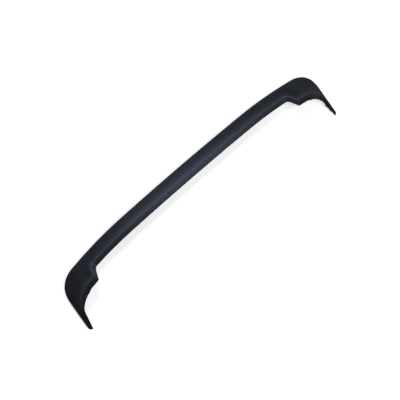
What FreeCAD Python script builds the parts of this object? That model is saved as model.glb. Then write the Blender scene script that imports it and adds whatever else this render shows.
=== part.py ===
import FreeCAD, Part
import math
import os

# Front spoiler: one moulded shell that runs round the lower front of a car.
# Millimetres. +Z is up, -Y is forward, X runs across the car.
# The lip lies on z = 0, and the origin is the middle of the footprint.

# Plan of the lip, from the middle of the car outwards
front_bow_radius = 13800.0
front_half_width = 354.0
shoulder_radius = 1750.0
shoulder_heading = 11.4
corner_radius = 128.0
corner_fade = 98.0
wing_splay = 8.6
wing_length = 160.6

# Section of the shell
wall = 3.0
rake = 36.0
face_bulge = 3.0
rim_ease = 0.8
lip_radius = 8.0
foot_width = 18.0
crease_radius = 7.0

# Middle band with its level mounting flange
band_height = 47.7
flange_width = 27.6

# Riser and ear at each end of the band
ear_before_corner = 43.8
riser_run = 27.9
riser_blend = 11.0
ear_height = 85.7
ear_flange_width = 29.8
ear_flange_angle = 5.7

# Wing, measured forward from its tail
tail_height = 24.5
tail_taper = 5.9
tail_flange_width = 7.1
taper_length = 110.8
sweep_length = 221.0
sweep_ease = 1.51
ridge_radius = 30.0
ridge_bend_at_tail = 22.0
tail_round_radius = 38.0
tail_tip_width = 5.0

# Upright return under each wing's inner edge, measured forward from the tail
return_front = 103.0
return_rear = 41.0
return_slant = 24.0
return_depth = 25.0
return_corner_radius = 3.0

# Sections along the lofted lengths
riser_section_count = 8
ear_section_count = 5
corner_section_count = 11
wing_section_count = 8
fade_step_count = 40

Vector = FreeCAD.Vector
UP = Vector(0, 0, 1)
ORIGIN = Vector(0, 0, 0)


def outward(heading):
    """Level direction out of the car where the lip runs at this heading."""
    return Vector(math.sin(heading), -math.cos(heading), 0)


def along(heading):
    return Vector(math.cos(heading), math.sin(heading), 0)


# Arcs of the lip, each tangent to the next
bow_end_heading = math.asin(front_half_width / front_bow_radius)
shoulder_end_heading = math.radians(shoulder_heading)
wing_heading = math.radians(90 - wing_splay)
bow_centre = Vector(0, front_bow_radius, 0)
shoulder_centre = bow_centre + outward(bow_end_heading) * (front_bow_radius - shoulder_radius)
corner_centre = shoulder_centre + outward(shoulder_end_heading) * (shoulder_radius - corner_radius)
fade_turn = corner_fade / corner_radius / 2
fade_begin_heading = wing_heading - fade_turn
fade_start = corner_centre + outward(fade_begin_heading) * corner_radius

# Distances along the lip from the middle of the car
bow_end = front_bow_radius * bow_end_heading
corner_begin = bow_end + shoulder_radius * (shoulder_end_heading - bow_end_heading)
fade_begin = corner_begin + corner_radius * (fade_begin_heading - shoulder_end_heading)
corner_end = fade_begin + corner_fade
tail = corner_end + wing_length
ear = corner_begin - ear_before_corner
riser_foot = ear - riser_run
band_end = riser_foot - riser_blend
sweep_end = tail - taper_length
sweep_begin = sweep_end - sweep_length

# Headings of the front face at its lower and upper ends, and the ear's top height
face_low = math.radians(90 - rake + face_bulge)
face_high = math.radians(90 - rake - face_bulge)
lip_middle = (math.pi + face_low) / 2
ear_angle = math.radians(ear_flange_angle)
ear_crease_rise = crease_radius * (math.cos(ear_angle) - math.cos(face_high))
ear_top = ear_height + ear_crease_rise + ear_flange_width * math.sin(ear_angle)


def fade_heading(run):
    """Heading on the fade, along which the corner's curvature falls evenly to nothing."""
    return fade_begin_heading + run / corner_radius * (1 - run / corner_fade / 2)


def fade_point(run):
    """Point of the fade, summed up from short straight steps."""
    step = run / fade_step_count
    point = fade_start
    for count in range(fade_step_count):
        point = point + along(fade_heading(step * (count + 1 / 2))) * step
    return point


def lip_point(distance):
    """Point of the lip's outline and the heading there."""
    if distance <= bow_end:
        heading = distance / front_bow_radius
        return bow_centre + outward(heading) * front_bow_radius, heading
    if distance <= corner_begin:
        heading = bow_end_heading + (distance - bow_end) / shoulder_radius
        return shoulder_centre + outward(heading) * shoulder_radius, heading
    if distance <= fade_begin:
        heading = shoulder_end_heading + (distance - corner_begin) / corner_radius
        return corner_centre + outward(heading) * corner_radius, heading
    if distance <= corner_end:
        return fade_point(distance - fade_begin), fade_heading(distance - fade_begin)
    return fade_point(corner_fade) + along(wing_heading) * (distance - corner_end), wing_heading


def riser_share(distance):
    """How far up the riser: level, a parabola round its foot, then straight."""
    past_foot = distance - riser_foot
    if past_foot <= -riser_blend:
        return 0.0
    if past_foot < riser_blend:
        return (past_foot + riser_blend) ** 2 / (4 * riser_blend * riser_run)
    return past_foot / riser_run


def wing_top(distance):
    """Height of the wing's top edge: level, a slow-starting sweep, then the tail's taper."""
    taper_line = tail_height + math.tan(math.radians(tail_taper)) * (tail - distance)
    swept = min(max((distance - sweep_begin) / sweep_length, 0.0), 1.0) ** sweep_ease
    return taper_line + (ear_top - taper_line) * (1 + math.cos(math.pi * swept)) / 2


def section_sizes(distance):
    """Height of the front face, flange heading, flange width and crease radius."""
    if distance <= ear:
        share = riser_share(distance)
        height = band_height + (ear_height - band_height) * share
        width = flange_width + (ear_flange_width - flange_width) * share
        return height, ear_angle * share, width, crease_radius
    share = (distance - ear) / (tail - ear)
    heading = ear_angle + (face_high - math.radians(ridge_bend_at_tail) - ear_angle) * share
    radius = crease_radius + (ridge_radius - crease_radius) * share
    top = wing_top(distance)
    fullness = (top - tail_height) / (ear_top - tail_height)
    width = tail_flange_width + (ear_flange_width - tail_flange_width) * fullness
    crease_rise = radius * (math.cos(heading) - math.cos(face_high))
    return top - width * math.sin(heading) - crease_rise, heading, width, radius


class Section:
    """Closed outline across the shell at a distance along the lip.

    Points are (inward, up). The front side is a chain of tangent lines and arcs: foot, lip,
    raked face, crease, flange. The back side is the same chain, one wall further in.
    """

    def __init__(self, distance):
        self.base, self.heading = lip_point(distance)
        face_top, flange_heading, self.flange, crease = section_sizes(distance)
        lip_centre = (lip_radius, lip_radius)
        lip_top = self.on_arc(lip_centre, lip_radius, face_low)
        face_radius = (face_top - lip_top[1]) / (math.cos(face_high) - math.cos(face_low))
        face_centre = self.arc_centre(lip_top, face_radius, face_low)
        face_end = self.on_arc(face_centre, face_radius, face_high)
        crease_centre = self.arc_centre(face_end, crease, face_high)
        self.flange_heading = flange_heading
        self.arcs = (
            (lip_centre, lip_radius, math.pi, lip_middle),
            (lip_centre, lip_radius, lip_middle, face_low),
            (face_centre, face_radius, face_low, face_high),
            (crease_centre, crease, face_high, flange_heading),
        )

    @staticmethod
    def on_arc(centre, radius, heading):
        return (centre[0] - radius * math.sin(heading), centre[1] + radius * math.cos(heading))

    @staticmethod
    def arc_centre(point, radius, heading):
        return (point[0] + radius * math.sin(heading), point[1] - radius * math.cos(heading))

    def place(self, inward, up):
        return self.base - outward(self.heading) * inward + UP * up

    def flange_edge(self, depth, extra=0.0):
        centre, radius, _, heading = self.arcs[-1]
        start = self.on_arc(centre, radius - depth, heading)
        reach = self.flange + extra
        return (start[0] + reach * math.cos(heading), start[1] + reach * math.sin(heading))

    def side(self, depth):
        """Edges from the foot to the flange's edge, at a depth into the wall."""
        lip_centre = self.arcs[0][0]
        foot = self.line((foot_width, depth), (lip_centre[0], depth))
        curves = [self.arc(centre, radius - depth, begin, end) for centre, radius, begin, end in self.arcs]
        flange = self.line(self.flange_edge(depth, -self.flange), self.flange_edge(depth))
        return [foot] + curves + [flange]

    def line(self, first, second):
        return Part.LineSegment(self.place(*first), self.place(*second)).toShape()

    def arc(self, centre, radius, begin, end):
        """Cubic curve that follows a circle clockwise between two headings."""
        handle = radius * 4 / 3 * math.tan((begin - end) / 4)
        first = self.on_arc(centre, radius, begin)
        last = self.on_arc(centre, radius, end)
        leave = (first[0] + handle * math.cos(begin), first[1] + handle * math.sin(begin))
        arrive = (last[0] - handle * math.cos(end), last[1] - handle * math.sin(end))
        curve = Part.BezierCurve()
        curve.setPoles([self.place(*point) for point in (first, leave, arrive, last)])
        return curve.toShape()

    def rim_corners(self):
        """Corners of the flange's rim, whose upper and lower edges are eased."""
        upper = [self.flange_edge(0), self.flange_edge(rim_ease, rim_ease)]
        return upper + [self.flange_edge(wall - rim_ease, rim_ease), self.flange_edge(wall)]

    def wire(self):
        """Front side, rim, back side and the foot's end."""
        corners = self.rim_corners()
        rim = [self.line(first, second) for first, second in zip(corners, corners[1:])]
        foot_end = self.line((foot_width, wall), (foot_width, 0))
        return Part.Wire(self.side(0) + rim + self.side(wall)[::-1] + [foot_end])


def spread(first, last, count):
    return [first + (last - first) * step / count for step in range(1, count + 1)]


def revolved_band():
    """Level band: one section swept round the bow and the shoulder, on the +X side."""
    middle = Part.Face(Section(0).wire())
    bow = middle.revolve(bow_centre, UP, math.degrees(bow_end_heading))
    joint = Part.Face(Section(bow_end).wire())
    shoulder_turn = (band_end - bow_end) / shoulder_radius
    return [bow, joint.revolve(shoulder_centre, UP, math.degrees(shoulder_turn))]


def lofted(distances):
    return Part.makeLoft([Section(distance).wire() for distance in distances], True)


def lofted_end():
    """Riser up to the ear, then the wing round the corner to its tail, on the +X side."""
    riser = [band_end] + spread(band_end, ear, riser_section_count)
    wing = [ear] + spread(ear, corner_begin, ear_section_count)
    wing += spread(corner_begin, corner_end, corner_section_count)
    wing += spread(corner_end, tail, wing_section_count)
    return [lofted(riser), lofted(wing)]


def tail_frame(back, inward, up):
    """Point at a distance forward of the tail, in from the lip and above the ground."""
    end, heading = lip_point(tail)
    return end - along(heading) * back - outward(heading) * inward + UP * up


def tail_round_cutter():
    """Removes the lower rear corner of the tail along an arc tangent to the lip."""
    rise = tail_height - tail_tip_width
    back = math.sqrt(tail_round_radius ** 2 - (tail_round_radius - rise) ** 2)
    half_turn = math.asin(back / tail_round_radius) / 2
    half_back = back - tail_round_radius * math.sin(half_turn)
    half_rise = tail_round_radius * (1 - math.cos(half_turn))
    clear = tail_height
    corners = [(0, rise), (-clear, rise), (-clear, -clear), (back, -clear), (back, 0)]
    points = [tail_frame(distance, -clear, up) for distance, up in corners]
    curve = Part.Arc(points[-1], tail_frame(half_back, -clear, half_rise), points[0]).toShape()
    outline = Part.Wire(Part.makePolygon(points).Edges + [curve])
    return Part.Face(outline).extrude(outward(wing_heading) * -(3 * clear))


def tail_return():
    """Upright plate that hangs from the wing's inner edge, its lowest corner rounded."""
    def inside_rim(distance_from_tail):
        section = Section(tail - distance_from_tail)
        return section.place(*section.flange_edge(wall / 2, -wall / 2))

    front = inside_rim(return_front)
    rear = inside_rim(return_rear)
    run = rear - front
    lowest = front + run * (return_slant / run.Length) - UP * return_depth
    across = run.cross(UP).normalize() * wall
    corners = [corner - across / 2 for corner in (front, lowest, rear, front)]
    plate = Part.Face(Part.makePolygon(corners)).extrude(across)
    lowest_edge = min(plate.Edges, key=lambda edge: edge.CenterOfMass.z)
    return plate.makeFillet(return_corner_radius, [lowest_edge])


def half_spoiler():
    pieces = revolved_band() + lofted_end()
    half = pieces[0].fuse(pieces[1:])
    half = half.cut(tail_round_cutter())
    return half.fuse(tail_return())


tail_rim_inward = max(corner[0] for corner in Section(tail).rim_corners())
overall_depth = tail_frame(0, tail_rim_inward, 0).y

right = half_spoiler()
left = right.mirror(ORIGIN, Vector(1, 0, 0))
spoiler = right.fuse(left).removeSplitter()
spoiler.translate(Vector(0, -overall_depth / 2, 0))

os.makedirs("parts", exist_ok=True)
spoiler.exportStep("parts/front_spoiler.step")
print("front_spoiler: solids", len(spoiler.Solids), "valid", spoiler.isValid())
print("depth", round(overall_depth, 1))
print("volume cm3", round(spoiler.Volume / 1000, 1))
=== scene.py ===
import math

import bmesh
import bpy
from mathutils import Matrix, Vector


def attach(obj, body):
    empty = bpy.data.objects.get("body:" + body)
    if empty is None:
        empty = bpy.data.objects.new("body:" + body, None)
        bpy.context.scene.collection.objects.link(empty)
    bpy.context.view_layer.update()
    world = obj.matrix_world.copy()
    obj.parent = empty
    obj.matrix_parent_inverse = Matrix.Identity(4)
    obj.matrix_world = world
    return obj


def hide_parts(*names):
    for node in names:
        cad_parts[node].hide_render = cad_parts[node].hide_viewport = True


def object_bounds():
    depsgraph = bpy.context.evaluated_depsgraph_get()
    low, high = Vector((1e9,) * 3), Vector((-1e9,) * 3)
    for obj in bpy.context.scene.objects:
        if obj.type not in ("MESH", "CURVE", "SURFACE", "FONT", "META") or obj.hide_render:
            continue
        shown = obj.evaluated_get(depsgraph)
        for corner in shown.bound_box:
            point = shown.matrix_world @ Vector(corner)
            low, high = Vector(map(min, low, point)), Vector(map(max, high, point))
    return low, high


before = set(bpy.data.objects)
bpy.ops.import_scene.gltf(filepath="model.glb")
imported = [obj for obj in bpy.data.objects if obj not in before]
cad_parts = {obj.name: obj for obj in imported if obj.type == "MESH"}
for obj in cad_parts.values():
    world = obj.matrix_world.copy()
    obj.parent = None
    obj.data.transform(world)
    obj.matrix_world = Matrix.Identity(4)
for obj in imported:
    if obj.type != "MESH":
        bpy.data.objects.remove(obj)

cadBox = [list(corner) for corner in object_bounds()]
millimetre = 0.001
white = (1, 1, 1, 1)
print("frame loaded, box", cadBox)


# The shell's sizes in millimetres and degrees: plan of the lip first, then its section
shell = {
    "bowRadius": 13800, "bowHalfWidth": 354, "shoulderRadius": 1750, "shoulderHeading": 11.4,
    "cornerRadius": 128, "cornerFade": 98, "wingSplay": 8.6, "wingLength": 160.55,
    "wall": 3, "rake": 36, "faceBulge": 3, "lipRadius": 8, "footWidth": 18,
    "creaseRadius": 7, "rimRound": 0.8, "bandHeight": 47.7, "flangeWidth": 27.6,
    "earBeforeCorner": 43.8, "riserRun": 27.9, "riserBlend": 11,
    "earHeight": 85.7, "earFlangeWidth": 29.8, "earFlangeAngle": 5.7,
    "tailHeight": 24.5, "tailTaper": 5.9, "tailFlangeWidth": 7.1, "taperLength": 110.8,
    "sweepLength": 221, "sweepEase": 1.51, "ridgeRadius": 30, "ridgeBendAtTail": 22,
    "sharpAngle": 32,  # edges that bend more than this stay sharp
}
# How finely the shell is divided: millimetres along the lip, then steps round its fading corner and section
fineness = {"band": 20, "riser": 1.5, "ear": 5, "corner": 5, "wing": 7, "fade": 40,
            "foot": 3, "lip": 16, "face": 14, "crease": 12, "flange": 6, "rim": 3}
creaseStart = fineness["foot"] + fineness["lip"] + fineness["face"]
frontCount = creaseStart + fineness["crease"] + fineness["flange"] + 1  # points on a section's front side


def outward(heading):
    return Vector((math.sin(heading), -math.cos(heading), 0))


def along(heading):
    return Vector((math.cos(heading), math.sin(heading), 0))


# Tangent arcs of the lip and the distances along it where they change
bowEndHeading = math.asin(shell["bowHalfWidth"] / shell["bowRadius"])
shoulderEndHeading = math.radians(shell["shoulderHeading"])
wingHeading = math.radians(90 - shell["wingSplay"])
fadeBeginHeading = wingHeading - shell["cornerFade"] / shell["cornerRadius"] / 2
bowCentre = Vector((0, shell["bowRadius"], 0))
shoulderCentre = bowCentre + outward(bowEndHeading) * (shell["bowRadius"] - shell["shoulderRadius"])
cornerShift = shell["shoulderRadius"] - shell["cornerRadius"]
cornerCentre = shoulderCentre + outward(shoulderEndHeading) * cornerShift
fadeStart = cornerCentre + outward(fadeBeginHeading) * shell["cornerRadius"]
bowEnd = shell["bowRadius"] * bowEndHeading
cornerBegin = bowEnd + shell["shoulderRadius"] * (shoulderEndHeading - bowEndHeading)
fadeBegin = cornerBegin + shell["cornerRadius"] * (fadeBeginHeading - shoulderEndHeading)
cornerEnd = fadeBegin + shell["cornerFade"]
tailRun = cornerEnd + shell["wingLength"]
earRun = cornerBegin - shell["earBeforeCorner"]
riserFoot = earRun - shell["riserRun"]
bandEnd = riserFoot - shell["riserBlend"]
sweepBegin = tailRun - shell["taperLength"] - shell["sweepLength"]

# Slopes of the face at its foot and its top, and the height of the ear's edge
faceLow = math.radians(90 - shell["rake"] + shell["faceBulge"])
faceHigh = math.radians(90 - shell["rake"] - shell["faceBulge"])
earAngle = math.radians(shell["earFlangeAngle"])
earTop = (shell["earHeight"] + shell["creaseRadius"] * (math.cos(earAngle) - math.cos(faceHigh))
          + shell["earFlangeWidth"] * math.sin(earAngle))


def fadeHeading(run):
    # the corner's curvature falls evenly to nothing
    return fadeBeginHeading + run / shell["cornerRadius"] * (1 - run / shell["cornerFade"] / 2)


def fadePoint(run):
    point = fadeStart.copy()
    pace = run / fineness["fade"]
    for number in range(fineness["fade"]):
        point += along(fadeHeading(pace * (number + 0.5))) * pace  # heading at the middle of the pace
    return point


def lipPoint(run):
    if run <= bowEnd:
        heading = run / shell["bowRadius"]
        return bowCentre + outward(heading) * shell["bowRadius"], heading
    if run <= cornerBegin:
        heading = bowEndHeading + (run - bowEnd) / shell["shoulderRadius"]
        return shoulderCentre + outward(heading) * shell["shoulderRadius"], heading
    if run <= fadeBegin:
        heading = shoulderEndHeading + (run - cornerBegin) / shell["cornerRadius"]
        return cornerCentre + outward(heading) * shell["cornerRadius"], heading
    if run <= cornerEnd:
        return fadePoint(run - fadeBegin), fadeHeading(run - fadeBegin)
    return fadePoint(shell["cornerFade"]) + along(wingHeading) * (run - cornerEnd), wingHeading


def riserShare(run):
    pastFoot, blend = run - riserFoot, shell["riserBlend"]
    if pastFoot <= -blend:
        return 0.0
    if pastFoot < blend:  # a parabola round the foot of the riser
        return (pastFoot + blend) ** 2 / (4 * blend * shell["riserRun"])
    return pastFoot / shell["riserRun"]


def wingTop(run):
    taperLine = shell["tailHeight"] + math.tan(math.radians(shell["tailTaper"])) * (tailRun - run)
    swept = min(max((run - sweepBegin) / shell["sweepLength"], 0.0), 1.0) ** shell["sweepEase"]
    return taperLine + (earTop - taperLine) * (1 + math.cos(math.pi * swept)) / 2


# Height of the face's top, slope and width of the flange, and radius of the crease between them
def sectionSizes(run):
    if run <= earRun:
        share = riserShare(run)
        height = shell["bandHeight"] + (shell["earHeight"] - shell["bandHeight"]) * share
        width = shell["flangeWidth"] + (shell["earFlangeWidth"] - shell["flangeWidth"]) * share
        return height, earAngle * share, width, shell["creaseRadius"]
    share = (run - earRun) / (tailRun - earRun)
    heading = earAngle + (faceHigh - math.radians(shell["ridgeBendAtTail"]) - earAngle) * share
    radius = shell["creaseRadius"] + (shell["ridgeRadius"] - shell["creaseRadius"]) * share
    top = wingTop(run)
    fullness = (top - shell["tailHeight"]) / (earTop - shell["tailHeight"])
    width = shell["tailFlangeWidth"] + (shell["earFlangeWidth"] - shell["tailFlangeWidth"]) * fullness
    rise = radius * (math.cos(heading) - math.cos(faceHigh))
    return top - width * math.sin(heading) - rise, heading, width, radius


# A section's points are (inward from the lip, up)
def onArc(centre, radius, heading):
    return (centre[0] - radius * math.sin(heading), centre[1] + radius * math.cos(heading))


def arcCentre(point, radius, heading):
    return (point[0] + radius * math.sin(heading), point[1] - radius * math.cos(heading))


def moved(point, heading, distance):
    return (point[0] + distance * math.cos(heading), point[1] + distance * math.sin(heading))


def arcPoints(centre, radius, begin, end, steps):
    return [onArc(centre, radius, begin + (end - begin) * number / steps) for number in range(steps + 1)]


def linePoints(first, last, steps):
    inward, up = last[0] - first[0], last[1] - first[1]
    return [(first[0] + inward * number / steps, first[1] + up * number / steps)
            for number in range(steps + 1)]


def sectionLoop(run):
    faceTop, flangeHeading, flangeWidth, crease = sectionSizes(run)
    lip = shell["lipRadius"]
    lipCentre = (lip, lip)
    lipTop = onArc(lipCentre, lip, faceLow)
    faceRadius = (faceTop - lipTop[1]) / (math.cos(faceHigh) - math.cos(faceLow))
    faceCentre = arcCentre(lipTop, faceRadius, faceLow)
    creaseCentre = arcCentre(onArc(faceCentre, faceRadius, faceHigh), crease, faceHigh)

    def side(depth):
        flangeStart = onArc(creaseCentre, crease - depth, flangeHeading)
        flangeEnd = moved(flangeStart, flangeHeading, flangeWidth)
        points = linePoints((shell["footWidth"], depth), (lip, depth), fineness["foot"])[:-1]
        points += arcPoints(lipCentre, lip - depth, math.pi, faceLow, fineness["lip"])[:-1]
        points += arcPoints(faceCentre, faceRadius - depth, faceLow, faceHigh, fineness["face"])[:-1]
        points += arcPoints(creaseCentre, crease - depth, faceHigh, flangeHeading, fineness["crease"])[:-1]
        return points + linePoints(flangeStart, flangeEnd, fineness["flange"])

    front, back = side(0), side(shell["wall"])
    rimRound = shell["rimRound"]
    rimOuter = arcCentre(front[-1], rimRound, flangeHeading)
    rimInner = arcCentre(back[-1], -rimRound, flangeHeading)
    rimMiddle, rimEnd = flangeHeading - math.pi / 2, flangeHeading - math.pi
    rim = arcPoints(rimOuter, rimRound, flangeHeading, rimMiddle, fineness["rim"])[1:]
    rim += arcPoints(rimInner, rimRound, rimMiddle, rimEnd, fineness["rim"])[:-1]
    return front + rim + back[::-1]


def spread(first, last, gap):
    count = max(1, round((last - first) / gap))
    return [first + (last - first) * number / count for number in range(1, count + 1)]


def inFrame(point, mirrored):
    x = -point.x if mirrored else point.x
    return Vector((x, point.y, point.z)) * millimetre + Vector((0, cadBox[0][1], 0))


def bridge(bm, first, second):
    for number, corner in enumerate(first):
        after = (number + 1) % len(first)
        bm.faces.new((corner, first[after], second[after], second[number]))


def meshObject(name, bm):
    bmesh.ops.recalc_face_normals(bm, faces=bm.faces)
    mesh = bpy.data.meshes.new(name)
    bm.to_mesh(mesh)
    bm.free()
    thing = bpy.data.objects.new(name, mesh)
    bpy.context.scene.collection.objects.link(thing)
    return thing


# A painted highlight line along the crease: its middle as a share of the crease, its half width in
# millimetres, which grows along the wing while the line fades, and a fainter, wider painted sheen on both
# sides of it
creaseHighlightSizes = {"middle": 0.67, "reach": 5.5, "wingReach": 22, "wingFade": 1.3, "sheen": 0.36, "sheenReach": 26}


# How much painted highlight and painted sheen each front point of a section gets
def paintedCreaseHighlight(section, run):
    wingShare = max(0.0, (run - earRun) / (tailRun - earRun))
    reach = creaseHighlightSizes["reach"] + creaseHighlightSizes["wingReach"] * wingShare
    strength = max(0.0, 1 - creaseHighlightSizes["wingFade"] * wingShare)
    middle = section[creaseStart + round(creaseHighlightSizes["middle"] * fineness["crease"])]
    highlightAmounts = [0.0] * len(section)
    for number in range(frontCount):
        away = math.dist(section[number], middle)
        sheen = creaseHighlightSizes["sheen"] * (1 - away / creaseHighlightSizes["sheenReach"])
        highlightAmounts[number] = strength * max(0.0, 1 - away / reach, sheen)
    return highlightAmounts


def makeShell():
    runs = [0.0] + spread(0, bandEnd, fineness["band"]) + spread(bandEnd, earRun, fineness["riser"])
    runs += spread(earRun, cornerBegin, fineness["ear"]) + spread(cornerBegin, cornerEnd, fineness["corner"])
    runs += spread(cornerEnd, tailRun, fineness["wing"])
    stations = [(run, True) for run in runs[:0:-1]] + [(run, False) for run in runs]
    bm = bmesh.new()
    highlightLayer = bm.verts.layers.float.new("paintedCreaseHighlight")
    loops = []
    for run, mirrored in stations:
        base, heading = lipPoint(run)
        section = sectionLoop(run)
        places = [base - outward(heading) * inward + Vector((0, 0, up)) for inward, up in section]
        loops.append([bm.verts.new(inFrame(place, mirrored)) for place in places])
        # each point stores its share of the painted crease highlight
        for corner, amount in zip(loops[-1], paintedCreaseHighlight(section, run)):
            corner[highlightLayer] = amount
    for first, second in zip(loops, loops[1:]):
        bridge(bm, first, second)
    bm.faces.new(loops[0])
    bm.faces.new(loops[-1])
    return meshObject("spoilerShell", bm)


# The tail's rounded lower corner, and the upright return under the wing's inner edge, in millimetres
tailEnd = {"roundRadius": 38, "tipWidth": 5, "steps": 24}
tailReturn = {"front": 103, "rear": 41, "slant": 24, "depth": 25, "cornerRadius": 3, "cornerSteps": 8}


def tailPlace(back, inward, up):
    end, heading = lipPoint(tailRun)
    return end - along(heading) * back - outward(heading) * inward + Vector((0, 0, up))


def prism(name, outline, shift, mirrored):
    bm = bmesh.new()
    near = [bm.verts.new(inFrame(point, mirrored)) for point in outline]
    far = [bm.verts.new(inFrame(point + shift, mirrored)) for point in outline]
    bm.faces.new(near)
    bm.faces.new(far)
    bridge(bm, near, far)
    return meshObject(name, bm)


def tailCutter(mirrored):
    rise, radius, steps = shell["tailHeight"] - tailEnd["tipWidth"], tailEnd["roundRadius"], tailEnd["steps"]
    fullTurn = math.acos(1 - rise / radius)
    back = radius * math.sin(fullTurn)
    clear = shell["tailHeight"]  # the cutter stands this far past the tail on all sides
    turns = [fullTurn * number / steps for number in range(steps + 1)]
    corners = [(back - radius * math.sin(turn), radius * (1 - math.cos(turn))) for turn in turns]
    corners += [(-clear, rise), (-clear, -clear), (back, -clear)]
    outline = [tailPlace(distance, -clear, up) for distance, up in corners]
    through = outward(wingHeading) * -3 * clear
    return prism("tailCutter", outline, through, mirrored)


def insideRim(run):
    # halfway into the wall, just short of the flange's edge
    heading = sectionSizes(run)[1]
    half = shell["wall"] / 2
    edge = sectionLoop(run)[frontCount - 1]
    inward, up = moved(arcCentre(edge, half, heading), heading, -half)
    base, lipHeading = lipPoint(run)
    return base - outward(lipHeading) * inward + Vector((0, 0, up))


def roundedCorner(before, corner, after, radius, steps):
    first, second = (before - corner).normalized(), (after - corner).normalized()
    half = first.angle(second) / 2
    centre = corner + (first + second).normalized() * (radius / math.sin(half))
    reach = radius / math.tan(half)
    begin, end = corner + first * reach - centre, corner + second * reach - centre
    return [centre + begin.slerp(end, number / steps) for number in range(steps + 1)]


def makeReturn(mirrored):
    front, rear = insideRim(tailRun - tailReturn["front"]), insideRim(tailRun - tailReturn["rear"])
    edge = rear - front
    lowest = front + edge.normalized() * tailReturn["slant"] - Vector((0, 0, tailReturn["depth"]))
    across = edge.cross(Vector((0, 0, 1))).normalized() * shell["wall"]
    rounded = roundedCorner(front, lowest, rear, tailReturn["cornerRadius"], tailReturn["cornerSteps"])
    outline = [point - across / 2 for point in [front] + rounded + [rear]]
    return prism("tailReturn", outline, across, mirrored)


def combine(thing, others, operation):
    for other in others:
        modifier = thing.modifiers.new(operation, "BOOLEAN")
        modifier.operation = operation
        modifier.solver = "EXACT"
        modifier.object = other
    graph = bpy.context.evaluated_depsgraph_get()
    result = bpy.data.meshes.new_from_object(thing.evaluated_get(graph))
    thing.modifiers.clear()
    thing.data = result
    for other in others:
        bpy.data.objects.remove(other)


def makeSpoiler():
    thing = makeShell()
    combine(thing, [tailCutter(False), tailCutter(True)], "DIFFERENCE")
    combine(thing, [makeReturn(False), makeReturn(True)], "UNION")
    thing.name = thing.data.name = "frontSpoiler"
    thing.data.shade_smooth()
    thing.data.set_sharp_from_angle(angle=math.radians(shell["sharpAngle"]))
    return thing


spoiler = makeSpoiler()
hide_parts("front_spoiler")
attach(spoiler, "root")
print("spoiler mesh", len(spoiler.data.vertices), "points", len(spoiler.data.polygons), "faces")


# Each noise has its scale, its detail and the range of its values that is used
plastic = {
    # the pale colour serves for real wear and patches and also for the painted highlight along the crease;
    # the crease amount below sets how strong that painted highlight is
    "black": (0.0044, 0.0045, 0.0050, 1), "paleWearAndHighlight": (0.043, 0.048, 0.062, 1),
    "gloss": 0.25, "glossTint": (0.56, 0.70, 1.0, 1), "roughLow": 0.40, "roughHigh": 0.45,
    "wingFrom": 0.62, "wingTo": 0.75, "wingRough": 0.55,  # duller past the ears, in metres from the middle
    "creaseHighlightAmount": 0.9, "edgeWear": 0.08, "edgeRange": (0.52, 0.6),
    "mottle": 0.08, "mottleScale": 9, "mottleDetail": 6, "mottleRange": (0.35, 0.75),
    "streakScale": (5, 60, 60), "streakDetail": 5, "streakRange": (0.3, 0.7),
    "grainScale": 1400, "grainDetail": 3, "grainHeight": 0.00006, "grainStrength": 0.35,
}


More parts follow.
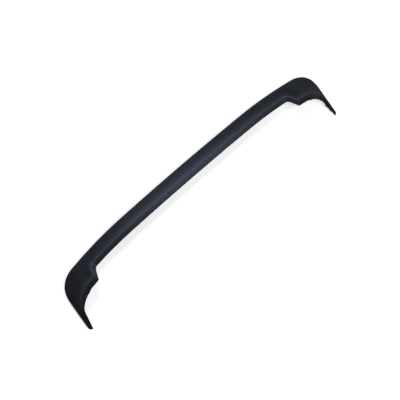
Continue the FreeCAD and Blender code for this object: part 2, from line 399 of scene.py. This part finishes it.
def satinPlastic():
    material = bpy.data.materials.new("satinBlackPlastic")
    material.use_nodes = True
    nodes, links = material.node_tree.nodes, material.node_tree.links
    shader = nodes["Principled BSDF"]
    shader.inputs["Specular Tint"].default_value = plastic["glossTint"]
    shader.inputs["Specular IOR Level"].default_value = plastic["gloss"]
    place = nodes.new("ShaderNodeTexCoord")

    def noise(scale, detail, stretch=None):
        texture = nodes.new("ShaderNodeTexNoise")
        texture.inputs["Scale"].default_value = scale
        texture.inputs["Detail"].default_value = detail
        source = place.outputs["Object"]
        if stretch:
            mapping = nodes.new("ShaderNodeMapping")
            mapping.inputs["Scale"].default_value = stretch
            links.new(source, mapping.inputs["Vector"])
            source = mapping.outputs["Vector"]
        links.new(source, texture.inputs["Vector"])
        return texture.outputs["Fac"]

    def remap(source, fromRange, toLow, toHigh):
        mapRange = nodes.new("ShaderNodeMapRange")
        mapRange.inputs["From Min"].default_value, mapRange.inputs["From Max"].default_value = fromRange
        mapRange.inputs["To Min"].default_value = toLow
        mapRange.inputs["To Max"].default_value = toHigh
        links.new(source, mapRange.inputs["Value"])
        return mapRange.outputs["Result"]

    def add(first, second):
        total = nodes.new("ShaderNodeMath")
        total.operation = "ADD"
        total.use_clamp = True
        links.new(first, total.inputs[0])
        links.new(second, total.inputs[1])
        return total.outputs["Value"]

    # colour: near black, a little paler in patches and where edges rub, with a painted highlight and painted
    # sheen along the crease
    # this attribute holds the painted crease highlight and painted sheen
    crease = nodes.new("ShaderNodeAttribute")
    crease.attribute_name = "paintedCreaseHighlight"
    pointed = nodes.new("ShaderNodeNewGeometry").outputs["Pointiness"]
    patches = noise(plastic["mottleScale"], plastic["mottleDetail"])
    wearAndHighlight = add(remap(pointed, plastic["edgeRange"], 0.0, plastic["edgeWear"]),
               remap(crease.outputs["Fac"], (0.0, 1.0), 0.0, plastic["creaseHighlightAmount"]))
    wearAndHighlight = add(wearAndHighlight, remap(patches, plastic["mottleRange"], 0.0, plastic["mottle"]))
    tone = nodes.new("ShaderNodeMix")
    tone.data_type = "RGBA"
    tone.inputs["A"].default_value = plastic["black"]
    tone.inputs["B"].default_value = plastic["paleWearAndHighlight"]
    links.new(wearAndHighlight, tone.inputs["Factor"])
    links.new(tone.outputs["Result"], shader.inputs["Base Color"])

    # roughness: faint flow streaks along the moulding, and duller wings
    streaks = noise(1, plastic["streakDetail"], plastic["streakScale"])
    rough = remap(streaks, plastic["streakRange"], plastic["roughLow"], plastic["roughHigh"])
    split = nodes.new("ShaderNodeSeparateXYZ")
    links.new(place.outputs["Object"], split.inputs["Vector"])
    sideways = nodes.new("ShaderNodeMath")
    sideways.operation = "ABSOLUTE"
    links.new(split.outputs["X"], sideways.inputs[0])
    wingRange = (plastic["wingFrom"], plastic["wingTo"])
    dull = remap(sideways.outputs["Value"], wingRange, 0.0, plastic["wingRough"])
    links.new(add(rough, dull), shader.inputs["Roughness"])

    # fine moulded grain
    bump = nodes.new("ShaderNodeBump")
    bump.inputs["Strength"].default_value = plastic["grainStrength"]
    bump.inputs["Distance"].default_value = plastic["grainHeight"]
    links.new(noise(plastic["grainScale"], plastic["grainDetail"]), bump.inputs["Height"])
    links.new(bump.outputs["Normal"], shader.inputs["Normal"])
    return material


spoiler.data.materials.clear()
spoiler.data.materials.append(satinPlastic())
print("plastic made")


# A flat round floor that bends up at its edge; its lift is the white that only the eye and gloss see
floorSizes = {"flatRadius": 10, "bendRadius": 2.5, "sides": 96, "bendSteps": 12,
              "colour": (0.84, 0.84, 0.84, 1), "roughness": 0.9, "gloss": 0.0,
              "near": 0.4, "far": 1.4, "nearLift": 0.29, "farLift": 0.75}


def paleFloor():
    material = bpy.data.materials.new("paleFloor")
    material.use_nodes = True
    nodes, links = material.node_tree.nodes, material.node_tree.links
    shader = nodes["Principled BSDF"]
    shader.inputs["Base Color"].default_value = floorSizes["colour"]
    shader.inputs["Roughness"].default_value = floorSizes["roughness"]
    shader.inputs["Specular IOR Level"].default_value = floorSizes["gloss"]
    shader.inputs["Emission Color"].default_value = white
    rays = nodes.new("ShaderNodeLightPath")
    seen = rays.outputs["Is Camera Ray"]
    for name in ("Is Glossy Ray", "Is Transmission Ray"):
        either = nodes.new("ShaderNodeMath")
        either.operation = "MAXIMUM"
        links.new(seen, either.inputs[0])
        links.new(rays.outputs[name], either.inputs[1])
        seen = either.outputs["Value"]
    # paler away from the spoiler, so that its shadow stays and the far floor is white
    distance = nodes.new("ShaderNodeVectorMath")
    distance.operation = "LENGTH"
    links.new(nodes.new("ShaderNodeTexCoord").outputs["Object"], distance.inputs[0])
    fall = nodes.new("ShaderNodeMapRange")
    limits = {"From Min": "near", "From Max": "far", "To Min": "nearLift", "To Max": "farLift"}
    for socket, key in limits.items():
        fall.inputs[socket].default_value = floorSizes[key]
    links.new(distance.outputs["Value"], fall.inputs["Value"])
    lift = nodes.new("ShaderNodeMath")
    lift.operation = "MULTIPLY"
    links.new(seen, lift.inputs[0])
    links.new(fall.outputs["Result"], lift.inputs[1])
    links.new(lift.outputs["Value"], shader.inputs["Emission Strength"])
    return material


def makeFloor():
    sides, steps, bend = floorSizes["sides"], floorSizes["bendSteps"], floorSizes["bendRadius"]
    around = [2 * math.pi * side / sides for side in range(sides)]
    bm = bmesh.new()
    rings = []
    for number in range(steps + 1):
        turn = math.pi / 2 * number / steps
        reach, height = floorSizes["flatRadius"] + bend * math.sin(turn), bend * (1 - math.cos(turn))
        places = [(reach * math.cos(angle), reach * math.sin(angle), height) for angle in around]
        rings.append([bm.verts.new(place) for place in places])
    bm.faces.new(rings[0])
    for first, second in zip(rings, rings[1:]):
        bridge(bm, first, second)
    floor = meshObject("floor", bm)
    floor.data.shade_smooth()
    floor.location.z = cadBox[0][2]
    floor.data.materials.append(paleFloor())


makeFloor()


# Soft boxes in metres and watts, all turned to one point
studio = {
    "worldLight": 0.15,
    "boxes": {
        "overheadBox": {"place": (-0.22, -1.3, 2.4), "size": (2.2, 0.6), "power": 31},
        "frontBox": {"place": (-0.2, -2.35, 1.5), "size": (0.7, 0.4), "power": 36},
        "rearBox": {"place": (-0.5, 1.5, 2.3), "size": (0.8, 0.4), "power": 21},
    },
    "aim": (0, 0, 0.04),
}


def makeLights():
    world = bpy.data.worlds.new("studio")
    bpy.context.scene.world = world
    world.use_nodes = True
    background = world.node_tree.nodes["Background"]
    background.inputs["Color"].default_value = white
    background.inputs["Strength"].default_value = studio["worldLight"]
    for name, box in studio["boxes"].items():
        lamp = bpy.data.lights.new(name, "AREA")
        lamp.shape = "RECTANGLE"
        lamp.size, lamp.size_y = box["size"]
        lamp.energy = box["power"]
        softBox = bpy.data.objects.new(name, lamp)
        softBox.location = box["place"]
        aim = Vector(studio["aim"]) - softBox.location
        softBox.rotation_euler = aim.to_track_quat("-Z", "Y").to_euler()
        bpy.context.scene.collection.objects.link(softBox)


makeLights()


# Where the photo was taken from: degrees, metres, and the lens in millimetres
cameraSet = {"azimuth": 12.9, "elevation": 53.021, "distance": 3.0, "target": (0.01667, 0.04096, 0.0),
             "roll": -128.56, "lens": 58.04, "sensor": 36}


def makeCamera():
    azimuth, elevation = math.radians(cameraSet["azimuth"]), math.radians(cameraSet["elevation"])
    roll = math.radians(cameraSet["roll"])
    back = Vector((math.sin(azimuth) * math.cos(elevation), -math.cos(azimuth) * math.cos(elevation),
                   math.sin(elevation)))
    levelRight = Vector((0, 0, 1)).cross(back).normalized()
    levelUp = back.cross(levelRight)
    right = levelRight * math.cos(roll) - levelUp * math.sin(roll)
    up = levelRight * math.sin(roll) + levelUp * math.cos(roll)
    lens = bpy.data.cameras.new("photoCamera")
    lens.lens, lens.sensor_width = cameraSet["lens"], cameraSet["sensor"]
    camera = bpy.data.objects.new("photoCamera", lens)
    place = Vector(cameraSet["target"]) + back * cameraSet["distance"]
    turn = Matrix((right, up, back)).transposed().to_4x4()
    camera.matrix_world = Matrix.Translation(place) @ turn
    bpy.context.scene.collection.objects.link(camera)
    bpy.context.scene.camera = camera


makeCamera()
bpy.context.scene.view_settings.view_transform = "Standard"
print("floor, lights and camera set")
